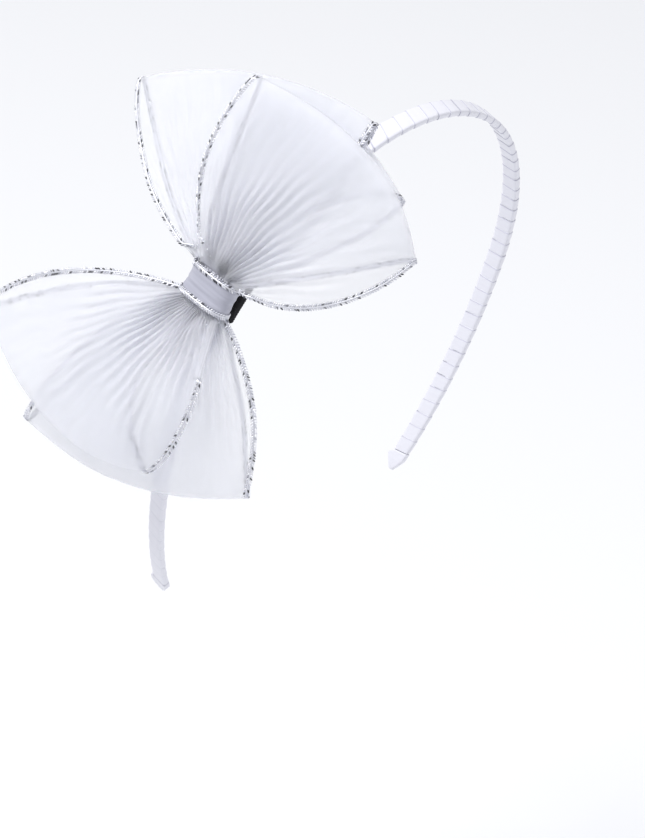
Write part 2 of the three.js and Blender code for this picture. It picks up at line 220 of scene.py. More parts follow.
FLOAT, VECTOR = "NodeSocketFloat", "NodeSocketVector"
STREAKS_PER_METRE = (900, 45, 0)
thread_grain, grain_in, grain_out = new_group(
    "Thread grain", "ShaderNodeTree",
    [("Cloth", VECTOR), ("Warp per Metre", FLOAT), ("Weft per Metre", FLOAT), ("Slub", FLOAT)],
    [("Height", FLOAT), ("Streaks", FLOAT)],
)
grain_place = node(thread_grain, "ShaderNodeSeparateXYZ", {0: grain_in.outputs["Cloth"]})
grain_waves = []
for axis, count in (("X", "Warp per Metre"), ("Y", "Weft per Metre")):
    turns = node(thread_grain, "ShaderNodeMath", {
        0: grain_place.outputs[axis], 1: grain_in.outputs[count]}, operation="MULTIPLY")
    wave = node(thread_grain, "ShaderNodeMath", {
        0: turns.outputs[0], 1: math.tau}, operation="MULTIPLY")
    grain_waves.append(node(thread_grain, "ShaderNodeMath", {0: wave.outputs[0]}, operation="SINE"))
grain_sum = node(thread_grain, "ShaderNodeMath", {
    0: grain_waves[0].outputs[0], 1: grain_waves[1].outputs[0]}, operation="ADD")
grain_height = node(thread_grain, "ShaderNodeMath", {
    0: grain_sum.outputs[0], 1: 0.25, 2: 0.5}, operation="MULTIPLY_ADD")
streak_place = node(thread_grain, "ShaderNodeMapping", {
    "Vector": grain_in.outputs["Cloth"], "Scale": STREAKS_PER_METRE})
streak_noise = node(thread_grain, "ShaderNodeTexNoise", {
    "Vector": streak_place.outputs[0], "Scale": 1, "Detail": 3})
streak = node(thread_grain, "ShaderNodeMapRange", {
    "Value": streak_noise.outputs[0], "From Min": 0.3, "From Max": 0.7,
    "To Min": 0, "To Max": grain_in.outputs["Slub"]})
thread_grain.links.new(grain_height.outputs[0], grain_out.inputs["Height"])
thread_grain.links.new(streak.outputs[0], grain_out.inputs["Streaks"])


def grain(tree, cloth, warp, weft, slub):
    """The thread grain group placed in a material, at its own thread counts."""
    return node(tree, "ShaderNodeGroup", {
        "Cloth": cloth, "Warp per Metre": warp, "Weft per Metre": weft, "Slub": slub,
    }, node_tree=thread_grain)


def mixed(tree, factor, first, second):
    """A colour between two, by a factor."""
    mix = node(tree, "ShaderNodeMix", data_type="RGBA")
    for index, value in ((0, factor), (6, first), (7, second)):
        if isinstance(value, bpy.types.NodeSocket):
            tree.links.new(value, mix.inputs[index])
        else:
            mix.inputs[index].default_value = value
    return mix.outputs[2]


satin, satin_tree, satin_shader = new_material("White satin", {
    "Roughness": 0.36, "Sheen Weight": 0.25, "Sheen Roughness": 0.4, "Specular IOR Level": 0.45,
})
satin_cloth = node(satin_tree, "ShaderNodeAttribute", attribute_name="cloth")
satin_grain = grain(satin_tree, satin_cloth.outputs["Vector"], SATIN_WARP, SATIN_WEFT, 1)
satin_colour = mixed(satin_tree, satin_grain.outputs["Streaks"], SATIN_COLOUR, SATIN_SHADOW)
satin_soft = mixed(satin_tree, SATIN_SOFTNESS, satin_colour, SATIN_COLOUR)
satin_place = node(satin_tree, "ShaderNodeSeparateXYZ", {0: satin_cloth.outputs["Vector"]})
# Painted shade: the colour darkens at the foot of each turn's step, where the turn before it ends
satin_step_shade = node(satin_tree, "ShaderNodeMapRange", {
    "Value": satin_place.outputs["X"], "From Min": 0, "From Max": TURN_SHADE,
    "To Min": TURN_SHADE_STRENGTH, "To Max": 0})
satin_soft = mixed(satin_tree, satin_step_shade.outputs[0], satin_soft, SATIN_STEP_SHADE)
satin_bump = node(satin_tree, "ShaderNodeBump", {
    "Height": satin_grain.outputs["Height"], "Strength": 0.25, "Distance": 0.00002})
satin_tree.links.new(satin_soft, satin_shader.inputs["Base Color"])
satin_tree.links.new(satin_bump.outputs[0], satin_shader.inputs["Normal"])

random = np.random.default_rng(WINDING_SEED)
wound_start = END_LENGTH + GAP
wound_length = LINE_LENGTH - 2 * wound_start
turns = round(wound_length / TURN_PITCH)
pitch = wound_length / turns
ring_length, ring_proud, ring_lean, ring_cloth = [], [], [], []
for turn in range(turns):
    wander = 0 if turn == 0 else random.normal(0, TURN_WANDER)
    lean = TURN_LEAN + random.normal(0, LEAN_WANDER)
    for share, proud in TURN_PROFILE:
        ring_length.append(wound_start + (turn + share) * pitch + wander * (1 - share))
        ring_proud.append(1 if turn == 0 and share == 0 else proud)
        ring_lean.append(lean)
        ring_cloth.append((share * pitch, turn))
ring_length.append(wound_start + wound_length)
ring_proud.append(0)
ring_lean.append(TURN_LEAN)
ring_cloth.append((pitch, turns))
ring_length, ring_lean = np.array(ring_length), np.array(ring_lean)
ring_drop = 2 * TURN_STEP * (1 - np.array(ring_proud))
across, out = rounded_section(
    band_width(ring_length) - ring_drop, BAND_THICKNESS - ring_drop, BAND_CORNER)
band_points = round_band(ring_length, across, out, ring_lean)
section_run = np.broadcast_to(np.linspace(0, RUN_ROUND_BAND, across.shape[1]), across.shape)
band_cloth = np.stack([
    np.broadcast_to(np.array(ring_cloth)[:, :1], across.shape),
    section_run + RUN_ROUND_BAND * np.array(ring_cloth)[:, 1:], 0 * across], -1)
wound_band = facing_out(make_piece(
    "satin_winding", band_points, bar_faces(*across.shape), satin, {"cloth": band_cloth}))
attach(wound_band, "root")
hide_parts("wound_band")

# Folded ends
# At the end of each leg the ribbon is folded over the core to a point and glued, with one
# shoulder of the fold standing out towards the back of the head.
END_SHOULDER = 0.001
END_TIP_WIDTH = 0.0016
END_FLAP = 0.00016
END_FLAP_START = 0.4
END_FLAP_SLANT = 0.004
END_TAPER = 0.62
END_CORNER = 0.7 * BAND_CORNER
# Share of the end's length, then shares of the shoulder, the thickness and the lean
END_PROFILE = [
    (1.0, 0.0, 0.9, 1.0), (0.985, 0.1, 1.0, 1.0), (0.9, 0.55, 1.0, 1.0), (0.8, 0.95, 1.0, 0.9),
    (0.7, 1.0, 1.0, 0.6), (0.6, 0.96, 0.98, 0.4), (0.45, 0.72, 0.95, 0.2), (0.3, 0.48, 0.88, 0.1),
    (0.15, 0.24, 0.76, 0.0), (0.04, 0.06, 0.62, 0.0), (0.0, 0.0, 0.5, 0.0),
]
end_rows = np.array(END_PROFILE)
for side_name, far_side in (("right", False), ("left", True)):
    share, shoulder, thick, lean = end_rows.T
    taper = np.clip(share / END_TAPER, 0, 1)
    width = END_TIP_WIDTH + (BAND_WIDTH_LEG - END_TIP_WIDTH) * taper + END_SHOULDER * shoulder
    across, out = rounded_section(width, BAND_THICKNESS * thick, END_CORNER)
    flap = (out > 0) & (across > (share[:, None] - END_FLAP_START) * END_FLAP_SLANT)
    out = out + END_FLAP * flap
    length = LINE_LENGTH - share * END_LENGTH if far_side else share * END_LENGTH
    end_points = round_band(length, across, out, lean * TURN_LEAN)
    shift = END_SHOULDER * shoulder / 2
    end_points += worn(np.stack([0 * shift, shift, 0 * shift], -1))[:, None]
    end_cloth = np.stack([
        np.broadcast_to(length[:, None], across.shape), across, 0 * across], -1)
    ribbon_end = facing_out(make_piece(
        f"folded_end_{side_name}", end_points, bar_faces(*across.shape), satin,
        {"cloth": end_cloth}))
    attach(ribbon_end, "root")
    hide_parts(f"ribbon_end_{side_name}")

# Black elastic
# A short sleeve of knitted black elastic, stretched round the band. Its cords run round the band,
# and the knot above is sewn to it.
BOW_ANGLE = math.radians(32)
ELASTIC_LENGTH = 0.0135
ELASTIC_WALL = 0.001
ELASTIC_CORDS = 17
CORD_DEPTH = 0.00009
CORD_STEPS = 6
ELASTIC_WARP = 1259  # one wave for each cord
ELASTIC_WEFT = 3000
RUN_ROUND_SLEEVE = 0.024
# Painted shade in the knit's grooves, then the colour of its threads
ELASTIC_GROOVE_SHADE = (0.002, 0.002, 0.003, 1)
ELASTIC_THREAD = (0.012, 0.012, 0.014, 1)
KNOT_DOWN_SHIFT = 0.00165
elastic, elastic_tree, elastic_shader = new_material("Black elastic", {
    "Roughness": 0.8, "Sheen Weight": 0.02, "Sheen Roughness": 0.6, "Specular IOR Level": 0.15,
})
elastic_cloth = node(elastic_tree, "ShaderNodeAttribute", attribute_name="cloth")
elastic_grain = grain(elastic_tree, elastic_cloth.outputs["Vector"], ELASTIC_WARP, ELASTIC_WEFT, 1)
# Painted shade: the colour darkens where the grain's height is low, in the grooves between threads
elastic_colour = mixed(
    elastic_tree, elastic_grain.outputs["Height"], ELASTIC_GROOVE_SHADE, ELASTIC_THREAD)
elastic_bump = node(elastic_tree, "ShaderNodeBump", {
    "Height": elastic_grain.outputs["Height"], "Strength": 0.5, "Distance": 0.00008})
elastic_tree.links.new(elastic_colour, elastic_shader.inputs["Base Color"])
elastic_tree.links.new(elastic_bump.outputs[0], elastic_shader.inputs["Normal"])


def wall_faces(rings, columns):
    """The faces of a tube's outer rings and then its inner rings, joined at both ends."""
    inner_start = rings * columns
    faces = grid_faces(rings, columns, closed=True)
    faces += grid_faces(rings, columns, inner_start, flip=True, closed=True)
    for row, flip in ((0, True), (rings - 1, False)):
        for c in range(columns):
            a, b = row * columns + c, row * columns + (c + 1) % columns
            face = (a, b, inner_start + b, inner_start + a)
            faces.append(face[::-1] if flip else face)
    return faces


elastic_rings = ELASTIC_CORDS * CORD_STEPS + 1
ring_share = np.linspace(-0.5, 0.5, elastic_rings)
elastic_middle = np.interp(BOW_ANGLE, line_angles, line_lengths) - KNOT_DOWN_SHIFT
ring_length = elastic_middle + ELASTIC_LENGTH * ring_share
groove = CORD_DEPTH * (1 - np.cos(math.tau * ELASTIC_CORDS * (ring_share + 0.5))) / 2
room = 2 * GAP
no_lean = np.zeros(elastic_rings)
walls = []
for wall in (2 * ELASTIC_WALL - 2 * CORD_DEPTH + 2 * groove, 0 * groove):
    corner = BAND_CORNER + wall.mean() / 2
    across, out = rounded_section(
        band_width(ring_length) + room + wall, BAND_THICKNESS + room + wall, corner)
    walls.append(round_band(ring_length, across, out, no_lean))
columns = walls[0].shape[1]
sleeve_run = np.broadcast_to(np.linspace(0, RUN_ROUND_SLEEVE, columns), across.shape)
sleeve_place = np.broadcast_to(ring_share[:, None] * ELASTIC_LENGTH, across.shape)
sleeve_cloth = np.tile(np.stack([sleeve_place, sleeve_run, 0 * across], -1), (2, 1, 1))
elastic_sleeve = facing_out(make_piece(
    "elastic_sleeve", np.concatenate(walls), wall_faces(elastic_rings, columns), elastic,
    {"cloth": sleeve_cloth}))
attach(elastic_sleeve, "root")
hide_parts("black_elastic")

# Knot ribbon
# A close-woven ribbon ten millimetres wide, wrapped once round the gathered bow and sewn behind. It
# is drawn in at its waist, and faint folds run round it.
KNOT_LENGTH = 0.0062
KNOT_WIDTH = 0.0168
KNOT_HEIGHT = 0.0086
KNOT_WALL = 0.001
KNOT_WAIST = 0.0005
KNOT_BACK_SHIFT = 0.0026
KNOT_TWIST = math.radians(4)
KNOT_ROUNDNESS = 2.8
SILVER_WIDTH = 0.0016
RIBBON_THICKNESS = 0.0002
KNOT_FOLD = 0.00005
BROAD_FOLDS = 2300  # radians per metre along the band
NARROW_FOLDS = 4100
KNOT_THREADS = 5200  # per metre, both ways
KNOT_RUN = 0.0075  # metres round the knot for each radian
KNOT_COLOUR = (0.47, 0.475, 0.55, 1)
KNOT_SHADOW = (0.40, 0.405, 0.48, 1)
seat_point, seat_along, seat_out = band_frame(np.array(BOW_ANGLE))
seat_back = np.array([0.0, 1.0, 0.0])
seat_place = seat_point + seat_out * BAND_THICKNESS
knot_middle_out = GAP + ELASTIC_WALL + GAP + KNOT_HEIGHT / 2
knot_mouth = KNOT_LENGTH / 2 + GAP + SILVER_WIDTH
inner_knot_width = KNOT_WIDTH - 2 * KNOT_WALL - KNOT_WAIST
inner_knot_height = KNOT_HEIGHT - 2 * KNOT_WALL - KNOT_WAIST


def on_bow(points):
    """Points of the bow, along the band, back and away from the head, in the row frame."""
    return worn(points @ np.stack([seat_along, seat_back, seat_out]) + seat_place)


def at_knot(along, back, out):
    """Points of the knot in its place, from the knot's own middle."""
    c, s = math.cos(KNOT_TWIST), math.sin(KNOT_TWIST)
    x = along * c - back * s - KNOT_DOWN_SHIFT
    y = along * s + back * c + KNOT_BACK_SHIFT
    return np.stack(np.broadcast_arrays(x, y, out + knot_middle_out), -1)


def knot_ring(along, width, height, angles):
    """Rounded rings across the band, for each place along it."""
    c, s = np.cos(angles), np.sin(angles)
    back = np.sign(c) * np.abs(c) ** (2 / KNOT_ROUNDNESS) * width / 2
    out = np.sign(s) * np.abs(s) ** (2 / KNOT_ROUNDNESS) * height / 2
    return at_knot(along, back, out)


def knot_waist(along):
    """How much narrower the knot is at places along the band."""
    return KNOT_WAIST * (1 - np.minimum(1, (2 * along / KNOT_LENGTH) ** 2))


knot_material, knot_tree, knot_shader = new_material("Knot ribbon", {
    "Roughness": 0.5, "Sheen Weight": 0.3, "Sheen Roughness": 0.5, "Specular IOR Level": 0.35,
})
knot_cloth = node(knot_tree, "ShaderNodeAttribute", attribute_name="cloth")
knot_grain = grain(knot_tree, knot_cloth.outputs["Vector"], KNOT_THREADS, KNOT_THREADS, 1)
knot_colour = mixed(knot_tree, knot_grain.outputs["Streaks"], KNOT_COLOUR, KNOT_SHADOW)
knot_bump = node(knot_tree, "ShaderNodeBump", {
    "Height": knot_grain.outputs["Height"], "Strength": 0.35, "Distance": 0.00003})
knot_tree.links.new(knot_colour, knot_shader.inputs["Base Color"])
knot_tree.links.new(knot_bump.outputs[0], knot_shader.inputs["Normal"])

knot_rows, knot_columns = 41, 160
knot_rim = KNOT_LENGTH / 2 + GAP + SILVER_WIDTH / 2
place = np.linspace(-knot_rim, knot_rim, knot_rows)[:, None]
round_knot = np.linspace(0, math.tau, knot_columns, endpoint=False)[None]
broad = np.sin(place * BROAD_FOLDS + 2 * np.sin(round_knot))
folds = KNOT_FOLD * (broad + 0.6 * np.sin(place * NARROW_FOLDS + 3 * round_knot))
knot_shells = []
for inset in (RIBBON_THICKNESS, 2 * RIBBON_THICKNESS):
    slim = knot_waist(place) + 2 * inset - 2 * folds + 2 * KNOT_FOLD
    knot_shells.append(knot_ring(place, KNOT_WIDTH - slim, KNOT_HEIGHT - slim, round_knot))
knot_run = np.stack([
    place + 0 * round_knot, KNOT_RUN * round_knot + 0 * place, 0 * folds], -1)
knot_wrap = facing_out(make_piece(
    "knot_wrap", on_bow(np.concatenate(knot_shells)), wall_faces(knot_rows, knot_columns),
    knot_material, {"cloth": np.tile(knot_run, (2, 1, 1))}))
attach(knot_wrap, "root")
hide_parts("knot_ribbon")

# Gathered middle
# The middle of the bow's ribbon, crushed into deep narrow folds inside the knot. Only the folds'
# ends show at the knot's two mouths.
GATHER_FOLDS = 46
GATHER_DEPTH = 0.00028
MIDDLE_DRAWN_IN = 0.12
sheer, sheer_tree, sheer_shader = new_material("Sheer ribbon", {
    "Roughness": 0.6, "Sheen Weight": 0.3, "Sheen Roughness": 0.5, "Specular IOR Level": 0.3,
    "Subsurface Weight": 0.7, "Subsurface Radius": (0.002, 0.002, 0.002), "Subsurface Scale": 1,
})
SHEER_COLOUR = (0.9, 0.91, 0.985, 1)
SHEER_SHADOW = (0.8, 0.81, 0.92, 1)
SHEER_COVER = 0.25
THREAD_COVER = 0.1
GATHER_COVER = 0.45
SHEER_THREADS = 4200  # per metre, both ways
RIBBON_WIDTH = 0.07
sheer_cloth = node(sheer_tree, "ShaderNodeAttribute", attribute_name="cloth")
sheer_grain = grain(sheer_tree, sheer_cloth.outputs["Vector"], SHEER_THREADS, SHEER_THREADS, 1)
sheer_place = node(sheer_tree, "ShaderNodeSeparateXYZ", {0: sheer_cloth.outputs["Vector"]})
sheer_colour = mixed(sheer_tree, sheer_place.outputs["Z"], SHEER_COLOUR, SHEER_SHADOW)
sheer_threads = node(sheer_tree, "ShaderNodeMath", {
    0: sheer_grain.outputs["Height"], 1: THREAD_COVER, 2: SHEER_COVER}, operation="MULTIPLY_ADD")
sheer_alpha = node(sheer_tree, "ShaderNodeMath", {
    0: sheer_place.outputs["Z"], 1: GATHER_COVER, 2: sheer_threads.outputs[0],
}, operation="MULTIPLY_ADD", use_clamp=True)
sheer_bump = node(sheer_tree, "ShaderNodeBump", {
    "Height": sheer_grain.outputs["Height"], "Strength": 0.3, "Distance": 0.00003})
sheer_tree.links.new(sheer_colour, sheer_shader.inputs["Base Color"])
sheer_tree.links.new(sheer_alpha.outputs[0], sheer_shader.inputs["Alpha"])
sheer_tree.links.new(sheer_bump.outputs[0], sheer_shader.inputs["Normal"])

gather_rows, gather_columns = 13, 368
place = np.linspace(-knot_mouth, knot_mouth, gather_rows)[:, None]
round_middle = np.linspace(0, math.tau, gather_columns, endpoint=False)[None]
flare = 1 - MIDDLE_DRAWN_IN * np.cos(math.pi * place / knot_mouth / 2)
ribs = 2 * GATHER_DEPTH * (
    np.cos(GATHER_FOLDS * round_middle + 1.5 * np.sin(3 * round_middle)) - 1)
middle_points = on_bow(knot_ring(
    place, flare * (inner_knot_width - 2 * GAP) + ribs,
    flare * (inner_knot_height - 2 * GAP) + ribs, round_middle))
middle_cloth = np.stack([
    RIBBON_WIDTH * round_middle / math.tau + 0 * place, place + 0 * round_middle,
    np.ones_like(ribs * place)], -1)
gathered_middle = facing_out(make_piece(
    "gathered_ribbon", middle_points, bar_faces(gather_rows, gather_columns), sheer,
    {"cloth": middle_cloth}))
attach(gathered_middle, "root")
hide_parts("gathered_middle")

# Sheer loops
# Five loops of sheer organza ribbon, folded back and forth and tied at the middle: three above the
# knot and two below. Each is two layers that part between the knot and the fold. The under loop's
# ribbon is narrower than the others'.
LOOP_REACH = 0.050
LOOP_PUFF = 0.010
CLOTH_WALL = 0.001
PLEATS_PER_TURN = 9
PLEAT_DEPTH = 0.0011
PLEAT_START = 0.0093
FOLD_ROUNDING = 0.0008
FOLD_SHARPNESS = 6.5
FOLD_FADE = 16
SILVER_GAP = 0.00042
MOST_LAYERS = 3
PARTING_OUT = (1, 0.385)
PARTING_SIDEWAYS = (1.5, 0.303)
UNDER_RIBBON_WIDTH = 0.058
TURN_STEPS = 130
SHARE_STEPS = 190
TUCK = 0.0009
GATHERS = 74
GATHER_SLOPE = 10.3
GATHER_MARGIN = 0.1
GATHER_RUN = 0.0135
GATHER_GROWTH = 0.0025
GATHER_BEND = 400
GATHER_DRIFT = 230
FULL_SPREAD = 0.05
GATHER_UNEVEN = 0.35
# How far a gather strays from its line, in radians of its wave: two waves round the knot and one
# outwards
GATHER_WANDER, FINE_WANDER, OUTWARD_WANDER = 2.6, 1.1, 0.5
RIPPLE = 0.00045
# Name, side, layer and layers, root width, depth of the gathers. Then for the back edge, the
# middle and the front edge: the fold's place along, back and out, arch sideways and out, and
# parting sideways and out
LOOPS = [
    ("upper_under_loop", 1, 0, 3, 0.6, 1.6, [
        (0.88, 0.66, -0.7, 0, -0.1, 0, 0.16),
        (1.12, 0.1, -0.5, -0.02, -0.08, -0.05, 0.2),
        (1.01, -0.46, -0.82, -0.05, -0.17, -0.1, 0.42)]),
    ("upper_rear_loop", 1, 1, 3, 1, 1, [
        (0.59, 1.23, -0.2, -0.09, 0.1, -0.03, 0.2),
        (1.08, 0.55, 0.2, 0, 0, 0, 0.12),
        (1.26, -0.14, -0.2, 0.08, 0.06, 0, 0.17)]),
    ("upper_front_loop", 1, 2, 3, 0.7, 1, [
        (1.1, 0.47, 0.8, -0.06, 0.27, -0.04, 0.26),
        (1.17, -0.36, 0.9, 0.01, 0.4, 0.03, 0.31),
        (0.86, -0.86, 0.2, 0.1, 0.3, 0.09, 0.32)]),
    ("lower_rear_loop", -1, 0, 2, 0.85, 1, [
        (1.49, 0.73, -0.6, -0.09, -0.08, -0.03, 0.22),
        (1.34, -0.04, -0.4, 0, 0.07, 0, 0.25),
        (0.93, -0.7, -0.6, 0.06, -0.12, 0.07, 0.28)]),
    ("lower_front_loop", -1, 1, 2, 0.85, 1.12, [
        (1.08, 1.25, 0.4, -0.11, 0.24, -0.04, 0.34),
        (1.27, 0.44, 0.8, -0.03, 0.28, 0.1, 0.42),
        (1.14, -0.17, 0.6, -0.06, 0.32, 0.22, 0.22)]),
]
# Creases that start at the knot: side, degrees towards the back, reach, depth and width in degrees
CREASES = [
    (1, -3, 0.022, -0.0011, 5), (1, -34, 0.030, -0.0016, 7), (1, 22, 0.026, 0.0007, 5),
    (1, 48, 0.020, -0.0006, 4), (-1, 40, 0.024, -0.0011, 6), (-1, 4, 0.016, -0.0012, 5),
    (-1, -28, 0.034, 0.0009, 4), (-1, -48, 0.018, -0.0005, 4),
]
root_thickness = (inner_knot_height - (MOST_LAYERS + 1) * GAP) / MOST_LAYERS


def lifted(along, back, fullness):
    """How far pleats, creases and ripples, and gathers as deep as their fullness, lift the cloth."""
    side = np.sign(along)
    angle = np.arctan2(back, np.abs(along))
    reach = np.maximum(0, np.hypot(along, back) - PLEAT_START) / LOOP_REACH
    fade = np.where(reach > 1, 0, np.sin(math.pi * np.sqrt(np.minimum(reach, 1))) ** 2)
    lift = PLEAT_DEPTH * fade * (1 - reach) * np.cos(PLEATS_PER_TURN * angle)
    from_knot, across_knot = np.abs(along + KNOT_DOWN_SHIFT), back - KNOT_BACK_SHIFT
    from_mouth = np.maximum(0, from_knot - knot_mouth)
    grow = np.minimum(1, from_mouth / GATHER_GROWTH) ** 1.5
    radius, fan = np.hypot(from_knot, across_knot), np.arctan2(across_knot, from_knot)
    wander = GATHER_WANDER * np.sin(4 * fan + 2 * side) + FINE_WANDER * np.sin(9 * fan + 1.3)
    wander += OUTWARD_WANDER * np.sin(GATHER_BEND * radius)
    uneven = 1 - GATHER_UNEVEN * (1 - np.sin(9 * fan + GATHER_DRIFT * radius + side))
    depth = GATHER_SLOPE * np.exp(-radius / GATHER_RUN) * radius / GATHERS
    lift += grow * fullness * uneven * depth * np.sin(GATHERS * fan + wander)
    for crease_side, degrees, length, crease_depth, width in CREASES:
        off = (np.degrees(angle) - degrees) / width
        run = np.minimum(1, from_mouth / length)
        crease = crease_depth * grow * (1 - run) ** 1.3 * np.exp(-np.abs(off) ** 1.5)
        lift += np.where(side == crease_side, crease, 0)
    ripple = np.sin(along * 150 + 1.1 + 90 * back) * np.sin(back * 120 - 60 * along)
    return lift + RIPPLE * np.minimum(1, reach * 2) * ripple


def parting(form, turn):
    """How far a layer lies from the middle of its loop, as a share of the most it does."""
    fold_power, most = form
    towards_fold = np.cos(math.pi * turn)
    rise = np.sin(math.pi * turn) ** 2 * np.abs(towards_fold) ** fold_power
    return np.sign(towards_fold) * rise / most


def loop_points(loop, turn, share):
    """Points of a loop's cloth. A turn of 0 and of 1 are at the knot, and 0.5 is the fold."""
    _, side, layer, layers, root_width, fullness, sections = loop
    rear, middle, front = np.array(sections)
    share = share[..., None]
    values = rear * (1 - share) * (1 - 2 * share) + middle * 4 * share * (1 - share)
    values = values + front * share * (2 * share - 1)
    along, back, out, arch_side, arch_out, part_side, part_out = np.moveaxis(values, -1, 0)
    share = share[..., 0]
    reach = (1 - np.cos(math.tau * turn)) / 2
    root = at_knot(
        side * (knot_mouth + GAP), (0.5 - share) * root_width * inner_knot_width,
        (layer - (layers - 1) / 2) * (root_thickness + GAP))
    root_along, root_back, root_out = np.moveaxis(root, -1, 0)
    tip_along, tip_back = side * along * LOOP_REACH, back * LOOP_REACH
    line = unit(np.stack([tip_along - root_along, tip_back - root_back], -1))
    sideways = side * np.stack([line[..., 1], -line[..., 0]], -1)
    arch = 4 * reach * (1 - reach)
    aside = LOOP_REACH * (arch_side * arch + part_side * parting(PARTING_SIDEWAYS, turn))
    x = root_along + (tip_along - root_along) * reach + sideways[..., 0] * aside
    y = root_back + (tip_back - root_back) * reach + sideways[..., 1] * aside
    z = root_out + (out * LOOP_PUFF - root_out) * reach
    z = z + LOOP_PUFF * (arch_out * arch + part_out * parting(PARTING_OUT, turn))
    layer_side = np.where(turn < 0.5, 1, -1)
    z = z + layer_side * (1 - reach) * (root_thickness - CLOTH_WALL) / 2
    from_fold = np.tanh(FOLD_SHARPNESS * np.abs(np.cos(math.pi * turn)))
    z = z + layer_side * reach**FOLD_FADE * FOLD_ROUNDING * from_fold
    margin = np.clip(np.minimum(share, 1 - share) / GATHER_MARGIN, 0, 1)
    return np.stack([x, y, z + lifted(x, y, fullness * margin)], -1)


def loop_directions(loop, turn, share):
    """The directions out of a loop's cloth, and in the cloth towards its front, square to its path."""
    step = 0.004
    turn = np.clip(turn, 2 * step, 1 - 2 * step)
    across = loop_points(loop, turn, share + step) - loop_points(loop, turn, share - step)
    path = unit(loop_points(loop, turn + step, share) - loop_points(loop, turn - step, share))
    out = unit(np.cross(across, path)) * loop[1]
    return np.cross(path, out) * loop[1], out


def sheet_faces(rows, columns):
    """A thin closed sheet: an upper and a lower grid of vertices, joined round the edge."""
    below = rows * columns
    faces = grid_faces(rows, columns) + grid_faces(rows, columns, below, flip=True)
    edge = [c for c in range(columns)]
    edge += [r * columns + columns - 1 for r in range(1, rows)]
    edge += [(rows - 1) * columns + c for c in range(columns - 2, -1, -1)]
    edge += [r * columns for r in range(rows - 2, 0, -1)]
    for a, b in zip(edge, edge[1:] + edge[:1]):
        faces.append((b, a, below + a, below + b))
    return faces


beside_cloth = SILVER_GAP + SILVER_WIDTH / 2
loop_cloths = {}
turn_grid, share_grid = np.meshgrid(
    np.linspace(0, 1, TURN_STEPS + 1), np.linspace(0, 1, SHARE_STEPS + 1), indexing="ij")
for loop in LOOPS:
    name, side = loop[:2]
    cloth = loop_points(loop, turn_grid, share_grid)
    front, _ = loop_directions(loop, turn_grid, share_grid)
    back_rim = cloth[:, :1] - front[:, :1] * beside_cloth
    front_rim = cloth[:, -1:] + front[:, -1:] * beside_cloth
    cloth = np.concatenate([back_rim, cloth, front_rim], 1)
    tuck = np.array([side * TUCK, 0, 0])
    cloth = np.concatenate([cloth[:1] - tuck, cloth, cloth[-1:] - tuck])
    rows, columns = cloth.shape[:2]
    slope_turn, slope_share = np.gradient(cloth, axis=0), np.gradient(cloth, axis=1)
    normal = unit(np.cross(slope_share, slope_turn))
    path = np.concatenate([np.zeros((1, columns)), np.cumsum(
        np.linalg.norm(np.diff(cloth, axis=0), axis=-1), axis=0)])
    spread = np.linalg.norm(np.diff(cloth, axis=1), axis=-1).sum(1)
    gather = np.clip(1 - spread / FULL_SPREAD, 0, 1) ** 1.2
    cloth_place = np.stack([
        np.broadcast_to(np.linspace(0, RIBBON_WIDTH, columns), (rows, columns)), path,
        np.broadcast_to(gather[:, None], (rows, columns))], -1)
    shell = np.concatenate([
        cloth + normal * RIBBON_THICKNESS / 2, cloth - normal * RIBBON_THICKNESS / 2])
    sheet = facing_out(make_piece(
        f"sheer_{name}", on_bow(shell), sheet_faces(rows, columns), sheer,
        {"cloth": np.tile(cloth_place, (2, 1, 1))}))
    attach(sheet, "root")
    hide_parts(name)
    loop_cloths[name] = (sheet, path[:, columns // 2].max())

# Silver stitched edges
# Overlocked silver thread along both edges of the ribbons: short stitches in two rows that slant
# against each other over a thin cord. Each stitch's colour is a painted reflection at random, mostly
# a bright painted glint and sometimes dark, so it sparkles.
STITCH_SPACING = 0.00078
STITCH_LENGTH = 0.0012
STITCH_THICKNESS = 0.0005
ROW_SHIFT = 0.00052
STITCH_SLANT = math.radians(42)
CORD_RADIUS = 0.0003
EDGE_START, EDGE_STEPS = 0.004, 240
KNOT_EDGE_STEPS = 120
KNOT_SEED = 80
SLANT_SHARES = (0.5, 1.4)  # least and most of the slant
# The edges that are rolled under their cloth beside the knot, and how far from it
ROLLED_UNDER = {
    "upper_rear_loop_back": 0.0075, "upper_front_loop_back": 0.0075,
    "upper_front_loop_front": 0.006, "lower_front_loop_front": 0.019,
}
ROLL_SHARE = 0.16
ROLL_DEPTH = 0.0011
ROLL_OUT = 0.003
# Glint, and the thread's painted reflection colour there
PAINTED_GLINT_STOPS = [
    (0.1, (0.06, 0.06, 0.07, 1)), (0.25, (0.6, 0.61, 0.68, 1)), (0.85, (0.95, 0.95, 0.98, 1)),
]
silver, silver_tree, silver_shader = new_material("Silver thread", {"Specular IOR Level": 0.6})
glint = node(silver_tree, "ShaderNodeAttribute", attribute_name="glint")
# Painted glint and reflection: each stitch's random glint picks its colour from near black to near
# white
silver_ramp = node(silver_tree, "ShaderNodeValToRGB", {"Fac": glint.outputs["Fac"]})
silver_ramp.color_ramp.elements.new(PAINTED_GLINT_STOPS[1][0])
for stop, (position, colour) in zip(silver_ramp.color_ramp.elements, PAINTED_GLINT_STOPS):
    stop.position = position
    stop.color = colour
silver_sheen = node(silver_tree, "ShaderNodeMapRange", {
    "Value": glint.outputs["Fac"], "To Min": 0.5, "To Max": 0.25})
silver_metal = node(silver_tree, "ShaderNodeMapRange", {
    "Value": glint.outputs["Fac"], "To Min": 0.35, "To Max": 0.75})
silver_tree.links.new(silver_ramp.outputs[0], silver_shader.inputs["Base Color"])
silver_tree.links.new(silver_sheen.outputs[0], silver_shader.inputs["Roughness"])
silver_tree.links.new(silver_metal.outputs[0], silver_shader.inputs["Metallic"])

